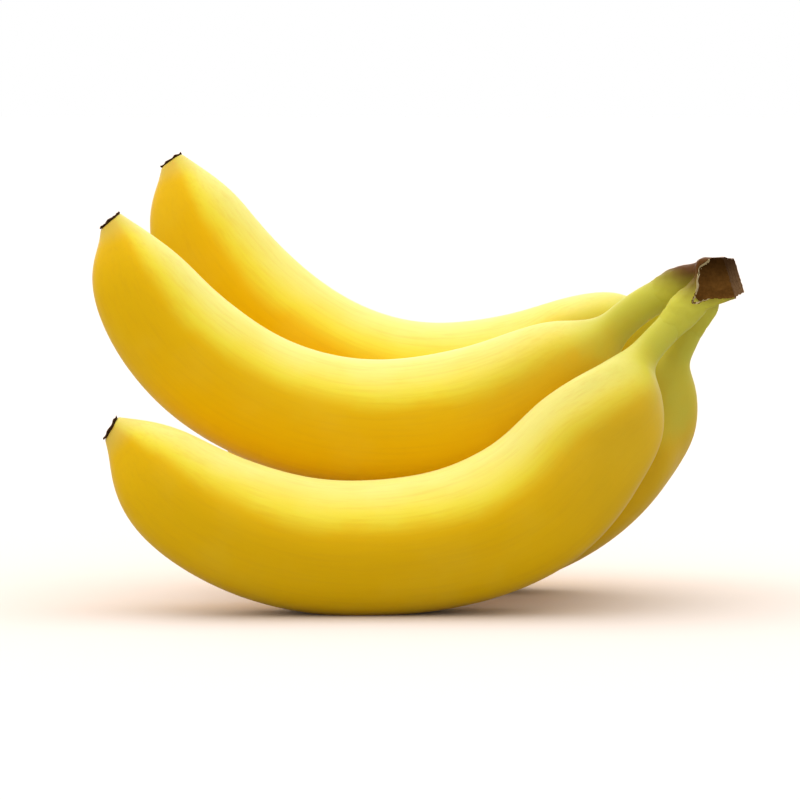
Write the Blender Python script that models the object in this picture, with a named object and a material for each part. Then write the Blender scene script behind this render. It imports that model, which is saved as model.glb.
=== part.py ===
"""A bunch of four ripe bananas, lying on the bellies of its two lower fingers.

The four fingers grow from one cut crown.  Each ends in the dry scar of its flower.
Metres, +Z up.  The fingers run towards -X from the crown, side by side along +Y.
"""
import math

import bmesh
import bpy
import numpy as np
from mathutils import Matrix, Vector

# ---- fingers -------------------------------------------------------------
FINGER_LENGTH = 0.2065       # along the lower front finger, from inside the crown to its scar
FINGER_DIAMETER = 0.0393     # at the thickest ring of the lower front finger
STALK_LENGTH = 0.0271        # from inside the crown to where the flesh starts
STALK_DIAMETER = 0.0073      # at the thinnest ring
NECK_SWELL = 1.08            # the stalk's end over its thinnest ring
ROOT_DIAMETER = 0.0090       # where the stalk flares into the crown
TIP_DIAMETER = 0.0065        # where the scar sits
RIDGE_HEIGHT = 0.035         # share of the radius that the five ridges stand proud
SPREAD_LENGTH = 0.058        # along a finger, while it moves out from the crown to its own place
FRONT_STEP = 0.4             # share of a diameter that the front finger stands out from its root
REST_DEPTH = 0.0006          # how far a belly is pressed flat where it rests
CLEARANCE = 0.0003           # between pieces that touch

# ---- crown ---------------------------------------------------------------
CROWN_LENGTH = 0.0118        # from the stalks to the cut
CROWN_THICKNESS = 0.0120     # at the stalks
CUT_THICKNESS = 0.0086       # at the cut
CROWN_MARGIN = 0.0012        # flesh outside the two end stalks
CROWN_RIM = 0.0022           # rounding of its long edges
ROOT_DEPTH = 0.0056          # how deep inside it the fingers start
CROWN_PITCH = 15.0           # degrees that the cut looks up
CROWN_YAW = 9.0              # degrees that the cut looks towards -Y
CUT_WIDTH_SHARE = 0.90       # of the width at the stalks
STALK_PITCH = ROOT_DIAMETER + 0.0012
STALK_STAGGER = 0.0010       # the upper stalks sit above the middle, the lower ones below

# ---- flower scars --------------------------------------------------------
SCAR_LENGTH = 0.0014         # along the finger, through its middle
SCAR_DISH = 0.0009           # how far its face is sunk
SCAR_LEAN = 10.0             # degrees that its face looks over the outer side
# Its outline: (share of the length, share of the tip's radius, share of the dish's depth)
SCAR_PROFILE = (
    (0.0, 0.94, 0.0), (0.35, 1.0, 0.0), (1.0, 1.08, 0.0), (1.0, 0.78, 0.3), (1.0, 0.48, 1.0),
)

# ---- mesh ----------------------------------------------------------------
RING_SIDES = 20
STALK_RINGS = 7
BODY_RINGS = 29
RING_CROWDING = 0.55         # 0 spaces a body's rings evenly, 1 crowds them at both ends
SCAR_SIDES = 14
RIM_STEPS = 5                # points on each rounded edge of the crown
CURVE_STEPS = 160            # points that follow a centreline while the fingers are laid together
LAYING_TRIES = 26            # halvings while a finger finds its place
DIP_LIMIT = 12.0             # degrees that a lower finger may turn to reach the surface

# Girth along the flesh, from the stalk to the scar: (share of its length, share of the radius)
GIRTH = (
    (0.055, 0.615), (0.115, 0.845), (0.185, 0.95), (0.30, 1.00), (0.44, 0.97), (0.58, 0.955),
    (0.71, 0.935), (0.82, 0.86), (0.89, 0.755), (0.945, 0.535), (0.98, 0.295),
)

# A finger's slope in degrees at shares of its length: below zero it runs down, above zero up
SLOPE_AT = (0.0, 0.08, 0.17, 0.27, 0.38, 0.52, 0.66, 0.80, 0.93, 1.0)

# place: counted along the crown from its front; row: 1 is the upper one, -1 the lower one;
# length, girth and stalk: shares of the front finger's; fan: degrees it opens towards +Y
FINGERS = {
    "banana_lower_front": dict(
        place=0, row=-1, length=1.00, girth=1.00, stalk=1.00, fan=-2.0,
        slopes=(-41, -51, -59, -51, -34, -10, 5, 25, 44, 44)),
    "banana_upper_front": dict(
        place=1, row=1, length=1.00, girth=0.95, stalk=1.19, fan=0.5,
        slopes=(-19, -28, -39, -33, -16, 3, 23, 44, 64, 65)),
    "banana_lower_back": dict(
        place=2, row=-1, length=0.88, girth=1.02, stalk=0.92, fan=3.0,
        slopes=(-49, -65, -61, -55, -41, -18, 10, 22, 41, 42)),
    "banana_upper_back": dict(
        place=3, row=1, length=0.97, girth=0.99, stalk=0.87, fan=3.0,
        slopes=(-16, -34, -39, -25, -9, 13, 33, 50, 67, 72)),
}
PEEL = (0.86, 0.62, 0.05, 1.0)
CROWN_BROWN = (0.16, 0.07, 0.03, 1.0)
SCAR_BROWN = (0.05, 0.03, 0.02, 1.0)


def clear_scene():
    for thing in list(bpy.data.objects):
        bpy.data.objects.remove(thing, do_unlink=True)


def finish(name, colour, roughness):
    """A plain Principled material."""
    material = bpy.data.materials.new(name)
    material.use_nodes = True
    shader = material.node_tree.nodes["Principled BSDF"]
    shader.inputs["Base Color"].default_value = colour
    shader.inputs["Roughness"].default_value = roughness
    return material


def smooth_through(at, values, where):
    """A curve through the given values that doesn't overshoot them."""
    at, values = np.asarray(at, float), np.asarray(values, float)
    rise = np.diff(values) / np.diff(at)
    slope = np.zeros(len(at))
    slope[0], slope[-1] = rise[0], rise[-1]
    for i in range(1, len(at) - 1):
        if rise[i - 1] * rise[i] > 0:
            slope[i] = 2 * rise[i - 1] * rise[i] / (rise[i - 1] + rise[i])
    i = np.clip(np.searchsorted(at, where) - 1, 0, len(at) - 2)
    span = at[i + 1] - at[i]
    t = (where - at[i]) / span
    return ((1 + 2 * t) * (1 - t) ** 2 * values[i] + t * (1 - t) ** 2 * span * slope[i]
            + t * t * (3 - 2 * t) * values[i + 1] + t * t * (t - 1) * span * slope[i + 1])


class Crown:
    """Where the crown lies, and the places in it that the stalks grow from."""

    def __init__(self):
        pitch, yaw = math.radians(CROWN_PITCH), math.radians(CROWN_YAW)
        self.outward = Vector((math.cos(pitch) * math.cos(yaw), -math.cos(pitch) * math.sin(yaw),
                               math.sin(pitch)))
        self.across = Vector((math.sin(yaw), math.cos(yaw), 0))
        self.up = self.outward.cross(self.across)
        self.middle = Vector((0, 0, 0))
        self.last_place = len(FINGERS) - 1
        self.width = self.last_place * STALK_PITCH + ROOT_DIAMETER + 2 * CROWN_MARGIN

    def root(self, finger):
        along = (finger["place"] - self.last_place / 2) * STALK_PITCH
        face = self.middle - self.outward * (CROWN_LENGTH / 2 - ROOT_DEPTH)
        return face + self.across * along + self.up * finger["row"] * STALK_STAGGER


def ran(rate, step):
    """The running total of a rate along a finger."""
    return np.concatenate([[0], np.cumsum((rate[1:] + rate[:-1]) / 2) * step])


def unit(rows):
    return rows / np.linalg.norm(rows, axis=1, keepdims=True)


class Centreline:
    """The line a finger grows along, its radius, and the frame of each ring."""

    def __init__(self, finger, root, side, stations=None):
        length = FINGER_LENGTH * finger["length"]
        s = np.linspace(0, length, CURVE_STEPS)
        degrees = np.array(finger["slopes"]) + finger.get("dip", 0)
        slope = np.radians(smooth_through(np.array(SLOPE_AT) * length, degrees, s))
        out = np.clip(s / SPREAD_LENGTH, 0, 1)
        step_out = (side - root.y) * out * out * (3 - 2 * out)
        fan = math.tan(math.radians(finger["fan"])) * np.clip(s - SPREAD_LENGTH / 2, 0, None)
        points = np.stack([root.x - ran(np.cos(slope), s[1]), root.y + step_out + fan,
                           root.z + ran(np.sin(slope), s[1])], axis=1)
        tangent = unit(np.gradient(points, axis=0))
        above = np.stack([np.sin(slope), np.zeros_like(slope), np.cos(slope)], axis=1)
        inner = unit(above - tangent * (above * tangent).sum(axis=1, keepdims=True))
        if stations is None:
            stations = s

        def at_stations(rows):
            return np.stack([np.interp(stations, s, row) for row in rows.T], axis=1)

        self.points = at_stations(points)
        self.tangent = at_stations(tangent)
        self.inner = at_stations(inner)
        self.side = np.cross(self.tangent, self.inner)
        self.radius = self.girth(finger, length, stations)

    @staticmethod
    def girth(finger, length, where):
        """Radius from the flared root, along the thin stalk and the flesh, to the scar."""
        thick = FINGER_DIAMETER / 2 * finger["girth"]
        stalk = STALK_LENGTH * finger["stalk"]
        flesh = length - stalk
        thin = STALK_DIAMETER / 2
        at = [0, ROOT_DEPTH, (ROOT_DEPTH + stalk) / 2, stalk]
        radius = [thin, ROOT_DIAMETER / 2, thin, thin * NECK_SWELL]
        for share, part in GIRTH:
            at.append(stalk + share * flesh)
            radius.append(thick * part)
        at.append(length)
        radius.append(TIP_DIAMETER / 2)
        return smooth_through(at, radius, where)

    def reach(self, way):
        """Radius towards directions given for every ring: five soft ridges on a round."""
        across, up = (way * self.side[:, None]).sum(axis=2), (way * self.inner[:, None]).sum(axis=2)
        plump = np.clip((self.radius - STALK_DIAMETER / 2) / (FINGER_DIAMETER / 2), 0, 1)
        ripple = np.cos(5 * np.arctan2(across, up))
        return self.radius[:, None] * (1 + RIDGE_HEIGHT * plump[:, None] * ripple)

    def rings(self):
        """Points round every ring, the first over the inner side."""
        turn = 2 * np.pi * np.arange(RING_SIDES) / RING_SIDES
        way = (np.cos(turn)[None, :, None] * self.inner[:, None]
               + np.sin(turn)[None, :, None] * self.side[:, None])
        return self.points[:, None] + self.reach(way)[..., None] * way

    def lowest(self):
        return self.rings()[..., 2].min()


def gap(one, other):
    """Smallest distance between the skins of two fingers."""
    between = other.points[None] - one.points[:, None]
    distance = np.linalg.norm(between, axis=2)
    way = between / np.maximum(distance, 1e-9)[..., None]
    back = np.swapaxes(-way, 0, 1)
    return (distance - one.reach(way) - other.reach(back).T).min()


def nearest(good, bad, passes):
    """The value nearest to bad that still passes."""
    for _ in range(LAYING_TRIES):
        middle = (good + bad) / 2
        if passes(middle):
            good = middle
        else:
            bad = middle
    return good


def lay_together(crown):
    """Finds each finger's place beside the ones already laid, just clear of them."""
    names = list(FINGERS)
    front = crown.root(FINGERS[names[0]]).y - FRONT_STEP * FINGER_DIAMETER
    far = front + len(FINGERS) * FINGER_DIAMETER
    sides = {names[0]: front}
    laid = [Centreline(FINGERS[names[0]], crown.root(FINGERS[names[0]]), front)]
    floor = laid[0].lowest()
    for name in names[1:]:
        finger, root = FINGERS[name], crown.root(FINGERS[name])

        def clears(side):
            line = Centreline(finger, root, side)
            return all(gap(line, other) >= CLEARANCE for other in laid)

        def above_floor(dip):
            return Centreline(dict(finger, dip=dip), root, sides[name]).lowest() >= floor

        sides[name] = nearest(far, front, clears)
        if finger["row"] < 0:
            finger["dip"] = nearest(DIP_LIMIT, -DIP_LIMIT, above_floor)
            sides[name] = nearest(far, front, clears)
        laid.append(Centreline(finger, root, sides[name]))
    return sides, floor


def ring_stations(finger):
    """Distances along a finger: close together on the stalk, the shoulder and the tip."""
    length = FINGER_LENGTH * finger["length"]
    stalk_length = STALK_LENGTH * finger["stalk"]
    stalk = np.linspace(0, stalk_length, STALK_RINGS)[:-1]
    even = np.linspace(0, 1, BODY_RINGS)
    eased = even + RING_CROWDING * ((1 - np.cos(math.pi * even)) / 2 - even)
    return np.concatenate([stalk, stalk_length + eased * (length - stalk_length)])


def loft(name, rings, material):
    """A closed body through rings of points, with flat ends."""
    body = bmesh.new()
    loops = [[body.verts.new(point) for point in ring] for ring in rings]
    for first, second in zip(loops, loops[1:]):
        for i in range(len(first)):
            j = (i + 1) % len(first)
            body.faces.new((first[i], first[j], second[j], second[i]))
    body.faces.new(loops[0][::-1])
    body.faces.new(loops[-1])
    bmesh.ops.recalc_face_normals(body, faces=body.faces)
    return add_body(name, body, material)


def add_body(name, body, material):
    mesh = bpy.data.meshes.new(name)
    body.to_mesh(mesh)
    body.free()
    mesh.materials.append(material)
    mesh.shade_smooth()
    mesh.set_sharp_from_angle(angle=math.radians(40))
    thing = bpy.data.objects.new(name, mesh)
    bpy.context.scene.collection.objects.link(thing)
    return thing


def press_flat(thing, height):
    """Cuts a belly level at the height that it rests on."""
    body = bmesh.new()
    body.from_mesh(thing.data)
    everything = body.verts[:] + body.edges[:] + body.faces[:]
    cut = bmesh.ops.bisect_plane(body, geom=everything, dist=1e-6, plane_co=(0, 0, height),
                                 plane_no=(0, 0, -1), clear_outer=True)
    rim = [edge for edge in cut["geom_cut"] if isinstance(edge, bmesh.types.BMEdge)]
    bmesh.ops.contextual_create(body, geom=rim)
    bmesh.ops.recalc_face_normals(body, faces=body.faces)
    body.to_mesh(thing.data)
    body.free()


def crown_rings(crown, grow):
    """Rounded oblongs from the stalks to the cut, grown outwards by a gap."""
    rings = []
    for end, thickness, share in ((-1, CROWN_THICKNESS, 1.0), (1, CUT_THICKNESS, CUT_WIDTH_SHARE)):
        half_wide = crown.width * share / 2 + grow
        half_thick = thickness / 2 + grow
        rim = CROWN_RIM + grow
        centre = crown.middle + crown.outward * end * (CROWN_LENGTH / 2 + grow)
        ring = []
        for right, top in ((1, 1), (-1, 1), (-1, -1), (1, -1)):
            corner = math.atan2(top, right) - math.pi / 4
            for turn in np.linspace(0, math.pi / 2, RIM_STEPS):
                across = right * (half_wide - rim) + rim * math.cos(corner + turn)
                up = top * (half_thick - rim) + rim * math.sin(corner + turn)
                ring.append(centre + crown.across * across + crown.up * up)
        rings.append(ring)
    return rings


def make_finger(name, finger, crown, side, cutter, material):
    """A finger's body, its root cut to sit on the crown."""
    line = Centreline(finger, crown.root(finger), side, ring_stations(finger))
    thing = loft(name, line.rings(), material)
    seat = thing.modifiers.new("crown_seat", "BOOLEAN")
    seat.operation = "DIFFERENCE"
    seat.object = cutter
    return thing, line


def make_scar(name, line, material):
    """The dry stub of the flower on a finger's tip, with a dished face."""
    way, inner, side = (Vector(row[-1]) for row in (line.tangent, line.inner, line.side))
    base = Vector(line.points[-1]) + way * CLEARANCE
    lean = math.tan(math.radians(SCAR_LEAN))
    rings = []
    for share_along, share_out, sunk in SCAR_PROFILE:
        ring = []
        for i in range(SCAR_SIDES):
            angle = 2 * math.pi * i / SCAR_SIDES
            out = TIP_DIAMETER / 2 * share_out * (math.cos(angle) * inner + math.sin(angle) * side)
            height = share_along * (SCAR_LENGTH + lean * out.dot(inner)) - sunk * SCAR_DISH
            ring.append(base + out + way * height)
        rings.append(ring)
    return loft(name, rings, material)


def middle_of(things):
    corners = np.array([vertex.co for thing in things for vertex in thing.data.vertices])
    return (corners.min(axis=0) + corners.max(axis=0)) / 2


def build():
    clear_scene()
    peel = finish("peel", PEEL, roughness=0.45)
    brown = finish("crown", CROWN_BROWN, roughness=0.75)
    dry = finish("flower_scar", SCAR_BROWN, roughness=0.85)
    crown = Crown()
    sides, floor = lay_together(crown)
    cutter = loft("crown_cutter", crown_rings(crown, CLEARANCE), brown)
    cutter.hide_render = True
    cutter.display_type = "WIRE"
    made = [loft("crown", crown_rings(crown, 0), brown)]
    for name, finger in FINGERS.items():
        banana, line = make_finger(name, finger, crown, sides[name], cutter, peel)
        if finger["row"] < 0:
            press_flat(banana, floor + REST_DEPTH)
        made += [banana, make_scar(name.replace("banana", "scar"), line, dry)]
    middle = middle_of(made)
    for thing in made + [cutter]:
        thing.data.transform(Matrix.Translation((-middle[0], -middle[1], -floor - REST_DEPTH)))


build()
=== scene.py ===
"""A bunch of four ripe bananas on a pale floor: the skins, the cut crown and the dry flower scars.

Each finger is modelled straight, then bent along the line that its finger in the frame grows along.
"""
import math

import bmesh
import bpy
import numpy as np
from mathutils import Matrix, Quaternion, Vector
from mathutils.bvhtree import BVHTree


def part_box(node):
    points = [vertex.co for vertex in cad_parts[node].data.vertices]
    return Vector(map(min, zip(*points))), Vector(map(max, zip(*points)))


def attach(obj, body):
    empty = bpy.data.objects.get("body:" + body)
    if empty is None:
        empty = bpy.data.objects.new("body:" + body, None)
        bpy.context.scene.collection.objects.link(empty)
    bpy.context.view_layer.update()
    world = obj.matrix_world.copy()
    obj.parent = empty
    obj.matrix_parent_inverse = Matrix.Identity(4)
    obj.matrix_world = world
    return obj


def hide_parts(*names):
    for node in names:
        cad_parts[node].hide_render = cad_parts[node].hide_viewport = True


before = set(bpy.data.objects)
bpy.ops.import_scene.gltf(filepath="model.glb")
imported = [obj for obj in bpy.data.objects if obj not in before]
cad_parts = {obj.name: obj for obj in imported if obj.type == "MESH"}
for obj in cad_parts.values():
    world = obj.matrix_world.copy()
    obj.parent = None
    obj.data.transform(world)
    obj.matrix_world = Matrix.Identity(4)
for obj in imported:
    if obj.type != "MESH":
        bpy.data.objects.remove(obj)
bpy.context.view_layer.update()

MM = 0.001
FINGERS = ("lower_front", "upper_front", "lower_back", "upper_back")

# ---- tracing the frame's fingers ----------------------------------------
TRACE_STEP = 2.5 * MM        # along a finger, from its scar to the crown
FEELERS = 20                 # rays round each place
ROOT_IN_CROWN = 2.5 * MM     # how far a stalk carries on into the crown
TIP_DEPTH = 0.4 * MM         # how far inside the tip the tracing starts
STALK_SWELL = 1.2            # the stalk ends where it is thicker than its thinnest by this
WELD = 0.00001               # vertices nearer than this become one

# ---- the finger's cage ---------------------------------------------------
SIDES = 20                   # four to a ridge
SMOOTHING = 2                # subdivisions of a finger
CAGE_GROWTH = 1.020          # subdividing draws the cage in by this much
RIDGE_UP, RIDGE_DOWN = 1.054, 0.948
RIDGE_TURN = 72.0            # degrees from one ridge to the next
RIDGES_AFTER_STALK, RIDGES_BEFORE_TIP = 3 * MM, 5 * MM
LEAN_REACH = 9 * MM          # how much of the tip leans over
TIP_LEAN = 15.0              # degrees that a tip's end looks over its outer side

# ---- how each finger's line is changed -----------------------------------
# Each pair of places says where a change starts and where it is whole.
ARCH_REACH = (36 * MM, 16 * MM)          # from the root
ARCH_AT_ROOT, ARCH_WHOLE = 0.5, 16 * MM  # its share at the root, and where that share is 1
TIP_REACH = (60 * MM, 15 * MM)           # from the tip
SHOULDER_RISE = (10 * MM, 28 * MM)       # from the root
SHOULDER_FALL = (80 * MM, 50 * MM)       # from the root
# arch raises the stalk, fall and dip lower the tail and the tip's neck, and tip and shoulder move
# those parts along X, Y and Z, all in millimetres. stem is the stalk's girth over the traced one.
SHAPES = {
    "lower_front": dict(arch=1.4, stem=1.08, fall=0.9, dip=-0.8,
                        tip=(-1.5, 0, 0), shoulder=(-2.3, 0, 0)),
    "upper_front": dict(arch=1.3, stem=1.26, fall=0.5, dip=0.3,
                        tip=(-0.2, 0, 0.3), shoulder=(0, 0, 0)),
    "lower_back": dict(arch=0.3, stem=1.12, fall=0.0, dip=0.0,
                       tip=(0, 0, 0), shoulder=(0, 0, 0)),
    "upper_back": dict(arch=-2.0, stem=1.10, fall=0.5, dip=-0.4,
                       tip=(0.9, 0, 0.2), shoulder=(0, 0, 0)),
}

# ---- the flower scars, in millimetres ------------------------------------
SCAR_RINGS = (-0.35, 0.10, 0.42)                # along the finger, from its end
SCAR_GIRTHS = (0.98, 1.10, 1.07)                # over the tip's girth
SCAR_INSETS = ((0.7, -0.14), (0.9, -0.08))      # width and depth of each step in its face
SCAR_RAGGED, SCAR_ROUGH = 0.40, 0.12            # random shifts of the rim, and of the whole
SCAR_TEETH = ((0, 0.50), (1, -0.25))            # every third place on the rim, and its height

# ---- the crown, in millimetres -------------------------------------------
# A place is right of and above the middle of the crown's near end.
DEPTH_LEAN = 0.07                               # to the right for each step back
BLOCK_NEAR = ((-7.6, -5.2), (9.5, -4.0), (9.5, 7.1), (-7.6, 6.8))
BLOCK_FAR = ((-7.6, -4.8), (9.5, -4.8), (9.5, 4.6), (-7.6, 4.6))
BLOCK_ROUNDING, ROUNDING_STEPS = 2.0, 4
WEB_PROFILES = (
    ((-10.7, -13.2), (-4.2, -7.4), (-3.0, -2.5), (-9.0, -6.0)),
    ((-4.2, -7.6), (3.6, -4.6), (3.2, -1.5), (-4.0, -1.5)),
)
WEB_NEAR, WEB_FAR = 2.2, 5.8
NEIGHBOURS = (("upper_front", "lower_back"), ("lower_back", "upper_back"))
STALK_WEB_AT, STALK_WEB_SHARES = (-1.5, 2.5, 7.0), (1.0, 0.9, 0.6)
# A collar's first ring is deep in the crown, and the others are along its stalk.
DEEP_ROOTS = {"lower_front": -6.0, "upper_front": -2.0, "lower_back": -4.0, "upper_back": -1.5}
COLLAR_AT = (-0.5, 1.5, 5.5, 8.5, 11.5, 14.5)
COLLARS = {                                     # how far each ring stands out from its stalk
    "lower_front": (0.4, 0.5, 0.7, 0.6, 0.35, 0.05, -0.4),
    "upper_front": (0.4, 0.5, 0.7, 0.65, 0.35, 0.05, -0.4),
    "lower_back": (0.3, 0.4, 0.5, 0.5, 0.30, 0.05, -0.4),
    "upper_back": (1.4, 1.5, 1.4, 1.0, 0.45, 0.05, -0.4),
}
CROWN_VOXEL, CROWN_SMOOTHING = 0.42, 20
CROWN_LUMP_SIZE, CROWN_LUMP_HEIGHT = 5, 0.8
CUT_AT = (1.75, 0.9)
CUT_WAY = Vector((math.cos(math.radians(17)), -0.12, math.sin(math.radians(17)))).normalized()
CUT_NEARNESS, TORN_NEARNESS = -0.05, 0.12       # of a face to the cut, and to the torn hollow
# Right, above, and how much deeper than the rest.
TEAR_OUTLINE = ((-7.2, -4.9, 0.6), (-6.3, -1.2, 0.4), (-6.5, 3.4, 0.2), (-3.6, 5.6, 0.2),
                (1.0, 9.5, 0.0), (9.0, 9.5, 0.0), (9.0, -2.9, 0.0), (0.0, -4.1, 0.3))
TEAR_DEPTH, TEAR_DRAFT, TEAR_BLOCK = 2.4, 2.0, 14
TEAR_VOXEL, TEAR_SMOOTHING = 0.45, 3
TEAR_LUMPS = (("torn_waves", 5, 1.6), ("torn_rags", 1.3, 0.7))   # size, then height
TORN_EDGE_FACING, TORN_EDGE_RIGHT = -0.62, -3.5
SKIN_FACE, CUT_FACE, TORN_FACE, EDGE_FACE = range(4)


# ---- handling ------------------------------------------------------------
def deselect_all():
    if bpy.context.object and bpy.context.object.mode != "OBJECT":
        bpy.ops.object.mode_set(mode="OBJECT")
    bpy.ops.object.select_all(action="DESELECT")


def pick(*things):
    """Makes these pieces the only ones selected, the first of them active."""
    deselect_all()
    for thing in things:
        thing.select_set(True)
    bpy.context.view_layer.objects.active = things[0]


def edit(thing):
    pick(thing)
    bpy.ops.object.mode_set(mode="EDIT")
    bpy.ops.mesh.select_mode(type="VERT")


def done():
    bpy.ops.object.mode_set(mode="OBJECT")


def select_where(test):
    """In edit mode: selects the vertices whose place passes, and drops the rest."""
    body = bmesh.from_edit_mesh(bpy.context.object.data)
    for vertex in body.verts:
        vertex.select = bool(test(vertex.co))
    body.select_flush_mode()
    bmesh.update_edit_mesh(bpy.context.object.data)


def add_modifier(thing, kind, **settings):
    """Adds a modifier and applies it at once."""
    pick(thing)
    modifier = thing.modifiers.new(kind.lower(), kind)
    for key, value in settings.items():
        setattr(modifier, key, value)
    bpy.ops.object.modifier_apply(modifier=modifier.name)


def settle(thing, name):
    """Leaves a piece at the origin, its place in its mesh, welded and its normals recalculated."""
    pick(thing)
    bpy.ops.object.transform_apply(location=True, rotation=True, scale=True)
    edit(thing)
    bpy.ops.mesh.select_all(action="SELECT")
    bpy.ops.mesh.remove_doubles(threshold=WELD)
    bpy.ops.mesh.normals_make_consistent(inside=False)
    done()
    bpy.ops.object.shade_smooth()
    thing.name = thing.data.name = name


def surface_of(mesh):
    """A mesh's faces as a tree, for feeling where its surface is."""
    return BVHTree.FromPolygons([v.co for v in mesh.vertices], [p.vertices for p in mesh.polygons])


# ---- where each finger grows --------------------------------------------
def trace(node, scar):
    """Points and radii along a finger from root to tip, felt from inside its skin."""
    skin = surface_of(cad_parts[node].data)
    low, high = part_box(scar)
    tip, outward, _, _ = skin.find_nearest((low + high) / 2)
    way = -outward.normalized()
    place = tip + way * TIP_DEPTH
    points, radii = [], []
    while place is not None:
        across = way.orthogonal().normalized()
        rays = [Quaternion(way, 2 * math.pi * i / FEELERS) @ across for i in range(FEELERS)]
        hits = [skin.ray_cast(place, ray)[0] for ray in rays]
        if None in hits:
            break
        centre = sum(hits, Vector()) / FEELERS
        if points:
            way = (way + (centre - points[-1]).normalized()).normalized()
        points.append(centre)
        radii.append(sum((hit - centre).length for hit in hits) / FEELERS)
        ahead = skin.ray_cast(centre, way)[0]
        is_end = ahead is None or (ahead - centre).length < TRACE_STEP * 1.2
        place = None if is_end else centre + way * TRACE_STEP
    points[0] = points[0] + (points[0] - points[1]).normalized() * TIP_DEPTH
    points.append(points[-1] + way * ROOT_IN_CROWN)
    radii.append(radii[-1] * 0.8)
    return np.array(points[::-1]), np.array(radii[::-1])


def eased(rows, passes=6):
    """Evens out a row of points, with its ends held."""
    rows = rows.copy()
    for _ in range(passes):
        rows[1:-1] = (rows[:-2] + 2 * rows[1:-1] + rows[2:]) / 4
    return rows


def distances(points):
    return np.concatenate([[0], np.cumsum(np.linalg.norm(np.diff(points, axis=0), axis=1))])


def growth_line(name, points):
    """A curve through the points, for a piece to be bent along."""
    curve = bpy.data.curves.new(name, "CURVE")
    curve.dimensions = "3D"
    curve.twist_mode = "Z_UP"
    spline = curve.splines.new("POLY")
    spline.points.add(len(points) - 1)
    for spot, point in zip(spline.points, points):
        spot.co = (*point, 1)
    line = bpy.data.objects.new(name, curve)
    bpy.context.scene.collection.objects.link(line)
    return line


def straight_tube(stations, radii):
    """A closed tube along +X, pulled out ring by ring from a disc."""
    bpy.ops.mesh.primitive_circle_add(vertices=SIDES, radius=radii[0], fill_type="NGON",
                                      location=(stations[0], 0, 0), rotation=(0, math.pi / 2, 0))
    tube = bpy.context.object
    bpy.ops.object.transform_apply(location=True, rotation=True, scale=True)
    edit(tube)
    bpy.ops.mesh.select_all(action="SELECT")
    for here, there, small, large in zip(stations, stations[1:], radii, radii[1:]):
        bpy.ops.mesh.extrude_region_move(TRANSFORM_OT_translate={"value": (there - here, 0, 0)})
        bpy.ops.transform.resize(value=(1, large / small, large / small),
                                 center_override=(there, 0, 0))
    done()
    return tube


def around(place):
    """Degrees round a straight finger from its inner side, which faces up."""
    return math.degrees(math.atan2(place.y, place.z))


def raise_ridges(tube, start, end):
    """Pulls the five ridges out and the valleys between them in, over the flesh."""
    edit(tube)
    for turned, share in ((0.0, RIDGE_UP), (RIDGE_TURN / 2, RIDGE_DOWN)):
        def on_line(place):
            off = (around(place) - turned) % RIDGE_TURN
            return min(off, RIDGE_TURN - off) < 1 and start < place.x < end
        select_where(on_line)
        bpy.ops.transform.resize(value=(1, share, share), center_override=(0, 0, 0))
    done()


def stations_for(length, stalk):
    """Where the rings of a finger go: close together at the root, the shoulder and the tip."""
    root = np.linspace(0, stalk, 9)[:-1]
    even = np.linspace(0, 1, 32)
    body = stalk + (even + 0.55 * ((1 - np.cos(math.pi * even)) / 2 - even)) * (length - stalk)
    return np.concatenate([root, body[:-1], [length - 0.5 * MM, length]])


def smoothly(start, end, value):
    """0 before start, 1 after end, and an even turn between them."""
    share = np.clip((value - start) / (end - start), 0, 1)
    return share * share * (3 - 2 * share)


def bend(thing, line):
    add_modifier(thing, "CURVE", object=line, deform_axis="POS_X")


class Growth:
    """The line that a finger grows along, its girths, and where its stalk ends."""

    def __init__(self, name):
        shape = SHAPES[name]
        points, radii = trace("banana_" + name, "scar_" + name)
        points = eased(points)
        along = distances(points)
        from_root = ARCH_AT_ROOT + (1 - ARCH_AT_ROOT) * smoothly(0, ARCH_WHOLE, along)
        points[:, 2] += shape["arch"] * MM * (smoothly(*ARCH_REACH, along) * from_root)
        near_tip = smoothly(along[-1] - TIP_REACH[0], along[-1] - TIP_REACH[1], along)
        at_shoulder = smoothly(*SHOULDER_RISE, along) * smoothly(*SHOULDER_FALL, along)
        points += (np.outer(near_tip, shape["tip"]) * MM
                   + np.outer(at_shoulder, shape["shoulder"]) * MM)
        ahead = points[-1] + unit(points[-1] - points[-3]) * 4 * MM
        self.along = distances(points)
        self.length = self.along[-1]
        thin = radii[1:len(radii) // 3].min()
        swollen = radii[4:] > thin * STALK_SWELL
        self.stalk = self.along[4:][swollen][0] - TRACE_STEP
        on_stalk = smoothly(self.stalk + 10 * MM, self.stalk - 2 * MM, self.along)
        self.radii = radii * (1 + (shape["stem"] - 1) * on_stalk)
        self.points = points
        self.line = growth_line("line_" + name, np.vstack([points, ahead]))

    def girth(self, at):
        return np.interp(at, self.along, self.radii)


def unit(row):
    return row / np.linalg.norm(row)


def move_rings(tube, shift):
    """Moves each ring of a straight tube up or down by shift(x)."""
    edit(tube)
    body = bmesh.from_edit_mesh(tube.data)
    rings = sorted({round(v.co.x, 6) for v in body.verts})
    for at in rings:
        height = float(shift(at))
        if abs(height) > 1e-6:
            select_where(lambda place: abs(place.x - at) < 2e-6)
            bpy.ops.transform.translate(value=(0, 0, height))
    done()


def lean_end(tube, end, reach, degrees):
    """Turns the last rings so that the end looks over the outer side."""
    edit(tube)
    body = bmesh.from_edit_mesh(tube.data)
    for at in sorted({round(v.co.x, 6) for v in body.verts if v.co.x > end - reach}):
        angle = math.radians(degrees) * float(smoothly(end - reach, end, at))
        select_where(lambda place: abs(place.x - at) < 2e-6)
        middle = (at, 0, tube_middle(tube, at))
        bpy.ops.transform.rotate(value=-angle, orient_axis="Y", center_override=middle)
    done()


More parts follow.
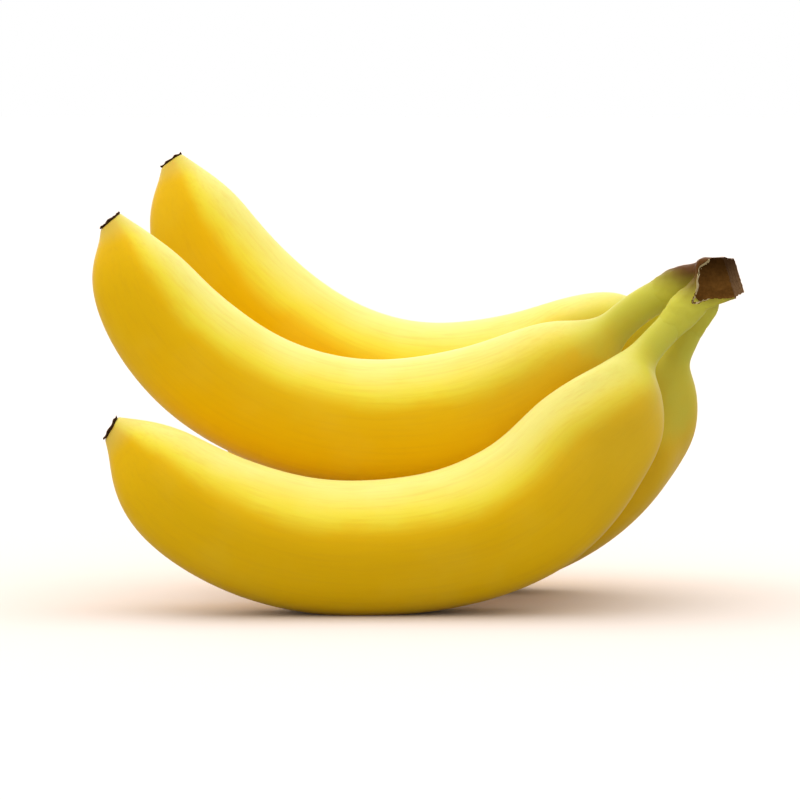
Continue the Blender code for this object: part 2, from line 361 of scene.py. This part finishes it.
def tube_middle(tube, at):
    body = bmesh.from_edit_mesh(tube.data)
    heights = [v.co.z for v in body.verts if v.select]
    return (min(heights) + max(heights)) / 2


def make_finger(name, growth):
    length, stalk = growth.length, growth.stalk
    stations = stations_for(length, stalk)
    tube = straight_tube(stations, growth.girth(stations) * CAGE_GROWTH)
    raise_ridges(tube, stalk + RIDGES_AFTER_STALK, length - RIDGES_BEFORE_TIP)
    fall, dip = SHAPES[name]["fall"] * MM, SHAPES[name]["dip"] * MM

    def shift(x):
        tail = smoothly(length * 0.45, length * 0.75, x) * smoothly(length, length - 16 * MM, x)
        neck = (smoothly(length - 26 * MM, length - 10 * MM, x)
                * smoothly(length, length - 9 * MM, x))
        return -fall * tail - dip * neck

    move_rings(tube, shift)
    lean_end(tube, length, LEAN_REACH, TIP_LEAN)
    add_modifier(tube, "SUBSURF", levels=SMOOTHING, render_levels=SMOOTHING)
    note_growth(tube, length)
    bend(tube, growth.line)
    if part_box("banana_" + name)[0].z < 0.2 * MM:
        edit(tube)
        bpy.ops.mesh.select_all(action="SELECT")
        bpy.ops.mesh.bisect(plane_co=(0, 0, 0), plane_no=(0, 0, -1),
                            use_fill=True, clear_outer=True)
        done()
    settle(tube, "skin_" + name)
    tube.data.materials.append(PEEL)
    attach(tube, "root")
    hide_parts("banana_" + name)


def note_growth(tube, length):
    """Keeps each place's straight coordinates, for finishes that follow the growth."""
    places = np.array([v.co for v in tube.data.vertices])
    grown = tube.data.attributes.new("grown", "FLOAT_VECTOR", "POINT")
    grown.data.foreach_set("vector", places.ravel())
    from_tip = tube.data.attributes.new("from_tip", "FLOAT", "POINT")
    from_tip.data.foreach_set("value", length - places[:, 0])


def turn_about(thing, end, degrees):
    """Turns a whole straight piece about the end's middle, as lean_end turns the skin."""
    edit(thing)
    bpy.ops.mesh.select_all(action="SELECT")
    bpy.ops.transform.rotate(value=-math.radians(degrees), orient_axis="Y",
                             center_override=(end, 0, 0))
    done()


def make_scar(name, growth, seed):
    """The dry stub of the flower: a thin ragged collar with a sunken, torn middle."""
    end, radius = growth.length, growth.girth(growth.length)
    scar = straight_tube(end + np.array(SCAR_RINGS) * MM, radius * np.array(SCAR_GIRTHS))
    edit(scar)
    select_where(lambda place: place.x > end + 0.3 * MM)
    for width, depth in SCAR_INSETS:
        bpy.ops.mesh.inset(thickness=width * MM, depth=depth * MM)
    rim = radius * 0.92

    def on_rim(place):
        return place.x > end - 0.2 * MM and math.hypot(place.y, place.z) > rim

    select_where(on_rim)
    bpy.ops.transform.vertex_random(offset=SCAR_RAGGED * MM, uniform=0.2, normal=0, seed=seed)
    step = 360 / SIDES
    for rest, height in SCAR_TEETH:
        select_where(lambda at: on_rim(at) and (round(around(at) / step) + seed) % 3 == rest)
        bpy.ops.transform.translate(value=(height * MM, 0, 0))
    done()
    add_modifier(scar, "SUBSURF", levels=1, render_levels=1)
    edit(scar)
    select_where(lambda place: place.x > end)
    bpy.ops.transform.vertex_random(offset=SCAR_ROUGH * MM, uniform=0, normal=0, seed=seed + 7)
    done()
    turn_about(scar, end, TIP_LEAN)
    note_growth(scar, end)
    bend(scar, growth.line)
    settle(scar, "flower_scar_" + name)
    scar.data.materials.append(SCAR)
    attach(scar, "root")
    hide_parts("scar_" + name)


# ---- the crown -----------------------------------------------------------
class CrownPlace:
    """The crown's middle, and its size out to the cut, across the stalks, and up."""

    def __init__(self):
        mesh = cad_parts["crown"].data
        ends = [face for face in mesh.polygons if face.normal.x > 0.8]
        outward = sum((face.normal * face.area for face in ends), Vector()).normalized()
        across = Vector((0, 0, 1)).cross(outward).normalized()
        turn = Matrix((outward, across, outward.cross(across))).transposed()
        local = np.array([turn.transposed() @ v.co for v in mesh.vertices])
        low, high = local.min(axis=0), local.max(axis=0)
        self.size = Vector(high - low)
        self.middle = turn @ Vector((low + high) / 2)


def shaped_block(near_corners, far_corners):
    """A block between four near corners and four far ones, each given round it."""
    bpy.ops.mesh.primitive_cube_add(size=1, location=(0, 0, 0))
    block = bpy.context.object
    edit(block)
    for y, corners in ((-1, near_corners), (1, far_corners)):
        for (x, z), goal in zip(((-1, -1), (1, -1), (1, 1), (-1, 1)), corners):
            start = Vector((x, y, z)) / 2
            select_where(lambda place: (place - start).length < 0.01)
            bpy.ops.transform.translate(value=goal - start)
    done()
    return block


def raise_lumps(thing, name, size, height):
    lumps = bpy.data.textures.new(name, "CLOUDS")
    lumps.noise_scale = size
    add_modifier(thing, "DISPLACE", texture=lumps, strength=height, mid_level=0.5,
                 texture_coords="LOCAL")


def tear_tool(outline, place, depth):
    """A rough block that leaves a torn hollow with this outline, opening towards the front."""
    bpy.ops.mesh.primitive_circle_add(vertices=len(outline), radius=1, fill_type="NGON",
                                      location=(0, 0, 0))
    tool = bpy.context.object
    starts = [v.co.copy() for v in tool.data.vertices]
    edit(tool)
    for start, (x, z, deeper) in zip(starts, outline):
        select_where(lambda at: (at - start).length < 0.0001)
        bpy.ops.transform.translate(value=place(x, z, depth + deeper) - start)
    bpy.ops.mesh.select_all(action="SELECT")
    middle = place(0, 0, 0)
    bpy.ops.mesh.extrude_region_move(TRANSFORM_OT_translate={"value": (0, -TEAR_BLOCK * MM, 0)})
    bpy.ops.transform.resize(value=(TEAR_DRAFT, 1, TEAR_DRAFT), center_override=middle)
    bpy.ops.mesh.select_all(action="SELECT")
    bpy.ops.mesh.normals_make_consistent(inside=False)
    done()
    add_modifier(tool, "REMESH", mode="VOXEL", voxel_size=TEAR_VOXEL * MM)
    add_modifier(tool, "SMOOTH", factor=0.5, iterations=TEAR_SMOOTHING)
    for name, size, height in TEAR_LUMPS:
        raise_lumps(tool, name, size * MM, height * MM)
    return tool


def stalk_web(*pair):
    """The flesh that joins two neighbouring stalks where they leave the crown."""
    tubes = []
    for growth in pair:
        at = np.array(STALK_WEB_AT) * MM
        tubes.append(straight_tube(at, growth.girth(at) * np.array(STALK_WEB_SHARES)))
        bend(tubes[-1], growth.line)
    pick(*tubes)
    bpy.ops.object.join()
    web = bpy.context.object
    edit(web)
    bpy.ops.mesh.select_all(action="SELECT")
    bpy.ops.mesh.convex_hull()
    done()
    return web


def make_crown(crown, growths):
    """The cushion that the stalks grow from, with its knife cut and its torn hollow."""
    near = crown.middle - Vector((0, crown.size.y / 2, 0))

    def beside(x, z, depth=0.0):
        """A place right of, above and behind the middle of the near end, in millimetres."""
        return near + Vector((x + depth * DEPTH_LEAN, depth, z)) * MM

    whole = crown.size.y / MM
    block = shaped_block([beside(x, z, 0) for x, z in BLOCK_NEAR],
                         [beside(x, z, whole) for x, z in BLOCK_FAR])
    edit(block)
    bpy.ops.mesh.select_all(action="SELECT")
    bpy.ops.mesh.bevel(offset=BLOCK_ROUNDING * MM, segments=ROUNDING_STEPS)
    done()
    parts = [block]
    for profile in WEB_PROFILES:
        parts.append(shaped_block([beside(x, z, WEB_NEAR) for x, z in profile],
                                  [beside(x, z, WEB_FAR) for x, z in profile]))
    for name in FINGERS:
        growth = growths[name]
        at = np.array([DEEP_ROOTS[name], *COLLAR_AT]) * MM
        flare = np.array(COLLARS[name]) * MM
        collar = straight_tube(at, growth.girth(at) + flare)
        bend(collar, growth.line)
        parts.append(collar)
    for first, second in NEIGHBOURS:
        parts.append(stalk_web(growths[first], growths[second]))
    pick(*parts)
    bpy.ops.object.join()
    body = bpy.context.object
    add_modifier(body, "REMESH", mode="VOXEL", voxel_size=CROWN_VOXEL * MM)
    add_modifier(body, "SMOOTH", factor=0.5, iterations=CROWN_SMOOTHING)
    raise_lumps(body, "crown_lumps", CROWN_LUMP_SIZE * MM, CROWN_LUMP_HEIGHT * MM)
    # the knife's cut
    edit(body)
    bpy.ops.mesh.select_all(action="SELECT")
    cut_at = beside(*CUT_AT)
    bpy.ops.mesh.bisect(plane_co=cut_at, plane_no=CUT_WAY, use_fill=True, clear_outer=True)
    done()
    # the hollow where the next finger was torn away
    tool = tear_tool(TEAR_OUTLINE, beside, TEAR_DEPTH)
    torn_skin = surface_of(tool.data)
    add_modifier(body, "BOOLEAN", operation="DIFFERENCE", object=tool, solver="EXACT")
    bpy.data.objects.remove(tool)
    body.data.materials.clear()
    for material in (CROWN_SKIN, CUT, TORN, TORN_EDGE):
        body.data.materials.append(material)
    left_edge = beside(TORN_EDGE_RIGHT, 0).x
    for face in body.data.polygons:
        if (face.center - cut_at).dot(CUT_WAY) > CUT_NEARNESS * MM:
            face.material_index = CUT_FACE
        elif torn_skin.find_nearest(face.center)[3] >= TORN_NEARNESS * MM:
            face.material_index = SKIN_FACE
        elif face.normal.y > TORN_EDGE_FACING and face.center.x < left_edge:
            face.material_index = EDGE_FACE
        else:
            face.material_index = TORN_FACE
    settle(body, "cut_crown")
    bpy.ops.object.shade_smooth_by_angle(angle=math.radians(35))
    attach(body, "root")
    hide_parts("crown")


# ---- finishes ------------------------------------------------------------
class Finish:
    """A Principled material and short ways to add nodes to it."""

    def __init__(self, name):
        self.material = bpy.data.materials.new(name)
        self.material.use_nodes = True
        self.tree = self.material.node_tree
        self.shader = self.tree.nodes["Principled BSDF"]

    def node(self, kind):
        return self.tree.nodes.new("ShaderNode" + kind)

    def feed(self, value, socket):
        if hasattr(value, "is_output"):
            self.tree.links.new(value, socket)
        else:
            socket.default_value = value

    def attribute(self, name, output="Vector"):
        node = self.node("Attribute")
        node.attribute_name = name
        return node.outputs[output]

    def math(self, operation, *values):
        node = self.node("Math")
        node.operation = operation
        for value, socket in zip(values, node.inputs):
            self.feed(value, socket)
        return node.outputs[0]

    def scaled(self, vector, scale):
        node = self.node("Mapping")
        node.inputs["Scale"].default_value = scale
        self.feed(vector, node.inputs["Vector"])
        return node.outputs[0]

    def noise(self, vector, scale, detail=2.0, roughness=0.5):
        node = self.node("TexNoise")
        self.feed(vector, node.inputs["Vector"])
        node.inputs["Scale"].default_value = scale
        node.inputs["Detail"].default_value = detail
        node.inputs["Roughness"].default_value = roughness
        return node.outputs["Fac"]

    def between(self, value, start, end, low=0.0, high=1.0):
        node = self.node("MapRange")
        node.interpolation_type = "SMOOTHSTEP"
        self.feed(value, node.inputs["Value"])
        for socket, number in zip(list(node.inputs)[1:5], (start, end, low, high)):
            self.feed(number, socket)
        return node.outputs[0]

    def mix(self, share, first, second):
        node = self.node("Mix")
        node.data_type = "RGBA"
        self.feed(share, node.inputs[0])
        for value, socket in ((first, node.inputs[6]), (second, node.inputs[7])):
            self.feed(value if hasattr(value, "is_output") else (*value, 1), socket)
        return node.outputs[2]

    def bump(self, height, strength, distance):
        node = self.node("Bump")
        node.inputs["Strength"].default_value = strength
        node.inputs["Distance"].default_value = distance
        self.feed(height, node.inputs["Height"])
        return node.outputs[0]


# The lemon, yellow and gold below are painted light: a painted highlight on a finger's inner, upper
# facet that deepens to gold on its outer sides.
LEMON_HIGHLIGHT = (0.98, 0.88, 0.24)
YELLOW = (0.97, 0.77, 0.04)
GOLD = (0.96, 0.560, 0.001)
# Olive is painted shade on the peel's stalk-side part; in the crown it is a random fibre tone.
OLIVE = (0.55, 0.38, 0.03)
STALK_GREEN = (0.66, 0.61, 0.070)
TIP_PEACH = (0.82, 0.64, 0.16)
FIBRE_GOLD = (0.78, 0.40, 0.01)
BLOTCH_GOLD = (0.98, 0.68, 0.06)
BROWNED = (0.13, 0.052, 0.012)
BROWN_WAY = Vector((0.30, 0, 0.95))             # the skin browns along this, past the crown
BROWN_START, BROWN_FULL = -8.5 * MM, 1.5 * MM   # from the crown's middle
# painted shade: the cut and the torn flesh darken towards this near-black over this depth, towards
# the top
PAINTED_SHADE_BLACK = (0.022, 0.008, 0.002)
PAINTED_SHADE_DEPTH = 11 * MM
CUT_BROWNS = ((0.13, 0.066, 0.028), (0.25, 0.145, 0.070))
EDGE_CREAMS = ((0.55, 0.42, 0.20), (0.80, 0.66, 0.38))
TORN_BROWNS = ((0.15, 0.063, 0.012), (0.20, 0.086, 0.018))
SCAR_BROWNS = ((0.030, 0.013, 0.005), (0.085, 0.040, 0.016))
# The painted shade on the cut and the torn flesh starts at these heights.
CUT_PAINTED_SHADE_FROM, TORN_PAINTED_SHADE_FROM = -5 * MM, -4 * MM   # above the crown's middle
PEEL_GLOSS, CROWN_GLOSS = (0.09, 0.06), (0.04, 0.0)  # specular level, then sheen


def peel_colour(f, place, blotch):
    """Lemon on the inner facet as a painted highlight, deepening to gold on the outer sides; olive
    towards the stalk as painted shade, then the stalk's green; peach at the tip.
    """
    grown = f.attribute("grown")
    split = f.node("SeparateXYZ")
    f.feed(grown, split.inputs[0])
    x, y, z = split.outputs
    turned = f.math("ARCTAN2", f.math("ABSOLUTE", y), z)
    wavy = f.math("ADD", turned, f.between(blotch, 0.3, 0.7, -0.06, 0.06))
    # painted highlight: lemon on the inner facet and yellow beside it, over the gold of the outer
    # sides
    colour = f.mix(f.between(wavy, 1.38, 0.98), GOLD, YELLOW)
    colour = f.mix(f.between(wavy, 1.15, 0.20), colour, LEMON_HIGHLIGHT)
    fibres = f.noise(f.scaled(grown, (0.05, 1.0, 1.0)), 900, 3, 0.6)
    colour = f.mix(f.between(fibres, 0.42, 0.75, 0.0, 0.16), colour, FIBRE_GOLD)
    colour = f.mix(f.between(blotch, 0.45, 0.75, 0.0, 0.12), colour, BLOTCH_GOLD)
    # painted shade: olive over the stalk-side part of the finger, stronger on the outer sides than
    # on the inner facet
    reach = f.math("ADD", x, f.between(blotch, 0.3, 0.7, -0.004, 0.004))
    outer = f.between(wavy, 0.5, 1.15, 0.12, 0.42)
    colour = f.mix(f.math("MULTIPLY", f.between(reach, 0.085, 0.040), outer), colour, OLIVE)
    colour = f.mix(f.between(reach, 0.046, 0.016), colour, STALK_GREEN)
    near_tip = f.between(f.attribute("from_tip", "Fac"), 0.007, 0.0005)
    return f.mix(f.math("MULTIPLY", near_tip, 0.5), colour, TIP_PEACH), fibres


def crown_colour(f, place, blotch):
    """The stalks' green, with a little olive in it."""
    fibres = f.noise(place, 500, 3)
    return f.mix(f.between(fibres, 0.3, 0.7, 0.0, 0.05), STALK_GREEN, OLIVE), fibres


def skin_finish(name, coloured, crown, gloss):
    """Waxy skin in the colour given, browned over the crown."""
    f = Finish(name)
    place = f.node("TexCoord").outputs["Object"]
    blotch = f.noise(place, 60, 3)
    colour, fibres = coloured(f, place, blotch)
    towards = f.node("VectorMath")
    towards.operation = "DOT_PRODUCT"
    f.feed(place, towards.inputs[0])
    towards.inputs[1].default_value = BROWN_WAY
    middle = BROWN_WAY.dot(crown.middle)
    edge = f.math("ADD", towards.outputs["Value"], f.between(blotch, 0.3, 0.7, -0.002, 0.002))
    browning = f.between(edge, middle + BROWN_START, middle + BROWN_FULL)
    f.feed(f.mix(browning, colour, BROWNED), f.shader.inputs["Base Color"])
    f.feed(f.between(blotch, 0.3, 0.7, 0.38, 0.46), f.shader.inputs["Roughness"])
    specular, sheen = gloss
    f.shader.inputs["Specular IOR Level"].default_value = specular
    f.shader.inputs["Subsurface Weight"].default_value = 0.12
    f.shader.inputs["Subsurface Radius"].default_value = (1.0, 0.55, 0.08)
    f.shader.inputs["Subsurface Scale"].default_value = 4 * MM
    f.shader.inputs["Sheen Weight"].default_value = sheen
    f.shader.inputs["Sheen Roughness"].default_value = 0.35
    f.feed(f.bump(fibres, 0.25, 0.05 * MM), f.shader.inputs["Normal"])
    return f.material


def cut_finish(name, dark, light, painted_shade_from=None):
    """Brown, dried cut flesh with woody fibres, and painted shade that darkens it towards black
    above a height where one is given.
    """
    f = Finish(name)
    place = f.node("TexCoord").outputs["Object"]
    fibres = f.noise(f.scaled(place, (1.0, 0.35, 1.0)), 1400, 4, 0.6)
    patches = f.noise(place, 160, 3)
    colour = f.mix(f.between(fibres, 0.3, 0.7), dark, light)
    colour = f.mix(f.between(patches, 0.4, 0.75, 0.0, 0.5), colour, tuple(0.5 * c for c in dark))
    # painted shade: darker towards black from this height upwards
    if painted_shade_from is not None:
        split = f.node("SeparateXYZ")
        f.feed(place, split.inputs[0])
        height = split.outputs["Z"]
        painted_shade_share = f.between(height, painted_shade_from, painted_shade_from + PAINTED_SHADE_DEPTH, 0.0, 0.85)
        colour = f.mix(painted_shade_share, colour, PAINTED_SHADE_BLACK)
    f.feed(colour, f.shader.inputs["Base Color"])
    f.feed(f.between(fibres, 0.3, 0.7, 0.55, 0.8), f.shader.inputs["Roughness"])
    f.feed(f.bump(fibres, 0.5, 0.10 * MM), f.shader.inputs["Normal"])
    f.shader.inputs["Specular IOR Level"].default_value = 0.0
    return f.material


CROWN = CrownPlace()
PEEL = skin_finish("banana_peel", peel_colour, CROWN, PEEL_GLOSS)
CROWN_SKIN = skin_finish("crown_skin", crown_colour, CROWN, CROWN_GLOSS)
CUT = cut_finish("knife_cut", *CUT_BROWNS, CROWN.middle.z + CUT_PAINTED_SHADE_FROM)
TORN_EDGE = cut_finish("torn_edge", *EDGE_CREAMS)
TORN = cut_finish("torn_flesh", *TORN_BROWNS, CROWN.middle.z + TORN_PAINTED_SHADE_FROM)
SCAR = cut_finish("dry_flower", *SCAR_BROWNS)

GROWTHS = {name: Growth(name) for name in FINGERS}
for number, name in enumerate(FINGERS):
    make_finger(name, GROWTHS[name])
    make_scar(name, GROWTHS[name], seed=number + 3)
make_crown(CROWN, GROWTHS)
for growth in GROWTHS.values():
    bpy.data.objects.remove(growth.line)

# ---- floor, light and camera ---------------------------------------------
LIGHT_FROM = Vector((-0.06, 0.45, 0.90)).normalized()
DOME_TURN = (0.2, 1.0)                   # how far towards the light the dome starts to brighten
DOME_STRENGTH = (0.92, 2.3)
WHITE = (1, 1, 1, 1)
FLOOR_SEEN = (0.92, 0.82, 0.76, 1)       # to the camera
FLOOR_BOUNCE = (0.44, 0.435, 0.43, 1)    # to everything else
CAMERA_AIM = Vector((-89.17, -10.0, -32.8)) * MM   # from the crown's middle
CAMERA_RISE, CAMERA_DISTANCE = math.radians(4), 1.5
CAMERA_LENS, CAMERA_SENSOR = 240.8, 36


def shader_tree(owner):
    owner.use_nodes = True
    tree = owner.node_tree
    tree.nodes.clear()
    return tree


def make_world():
    world = bpy.data.worlds.new("studio")
    bpy.context.scene.world = world
    tree = shader_tree(world)
    new, link = tree.nodes.new, tree.links.new
    way = new("ShaderNodeTexCoord")
    towards = new("ShaderNodeVectorMath")
    towards.operation = "DOT_PRODUCT"
    towards.inputs[1].default_value = LIGHT_FROM
    fall = new("ShaderNodeMapRange")
    fall.interpolation_type = "SMOOTHSTEP"
    fall.inputs["From Min"].default_value, fall.inputs["From Max"].default_value = DOME_TURN
    fall.inputs["To Min"].default_value, fall.inputs["To Max"].default_value = DOME_STRENGTH
    dome, backdrop = new("ShaderNodeBackground"), new("ShaderNodeBackground")
    backdrop.inputs["Color"].default_value = WHITE
    path, pick_one = new("ShaderNodeLightPath"), new("ShaderNodeMixShader")
    out = new("ShaderNodeOutputWorld")
    link(way.outputs["Generated"], towards.inputs[0])
    link(towards.outputs["Value"], fall.inputs["Value"])
    link(fall.outputs["Result"], dome.inputs["Strength"])
    link(path.outputs["Is Camera Ray"], pick_one.inputs["Fac"])
    link(dome.outputs[0], pick_one.inputs[1])
    link(backdrop.outputs[0], pick_one.inputs[2])
    link(pick_one.outputs[0], out.inputs["Surface"])


def make_floor():
    bpy.ops.mesh.primitive_plane_add(size=16, location=(0, 0, 0))
    floor = bpy.context.object
    floor.name = "floor"
    material = bpy.data.materials.new("pale_floor")
    tree = shader_tree(material)
    new, link = tree.nodes.new, tree.links.new
    white, grey = new("ShaderNodeBsdfDiffuse"), new("ShaderNodeBsdfDiffuse")
    white.inputs["Color"].default_value = FLOOR_SEEN
    grey.inputs["Color"].default_value = FLOOR_BOUNCE
    path, pick_one = new("ShaderNodeLightPath"), new("ShaderNodeMixShader")
    out = new("ShaderNodeOutputMaterial")
    link(path.outputs["Is Camera Ray"], pick_one.inputs["Fac"])
    link(grey.outputs[0], pick_one.inputs[1])
    link(white.outputs[0], pick_one.inputs[2])
    link(pick_one.outputs[0], out.inputs["Surface"])
    floor.data.materials.append(material)


def make_camera():
    low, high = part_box("crown")
    target = (low + high) / 2 + CAMERA_AIM
    back = Vector((0, -math.cos(CAMERA_RISE), math.sin(CAMERA_RISE)))
    camera = bpy.data.objects.new("camera", bpy.data.cameras.new("camera"))
    bpy.context.scene.collection.objects.link(camera)
    camera.data.sensor_width = CAMERA_SENSOR
    camera.data.lens = CAMERA_LENS
    camera.data.clip_end = 50
    camera.location = target + back * CAMERA_DISTANCE
    camera.rotation_euler = (-back).to_track_quat("-Z", "Y").to_euler()
    bpy.context.scene.camera = camera
    bpy.context.scene.view_settings.view_transform = "Standard"


make_world()
make_floor()
make_camera()
bpy.context.view_layer.update()
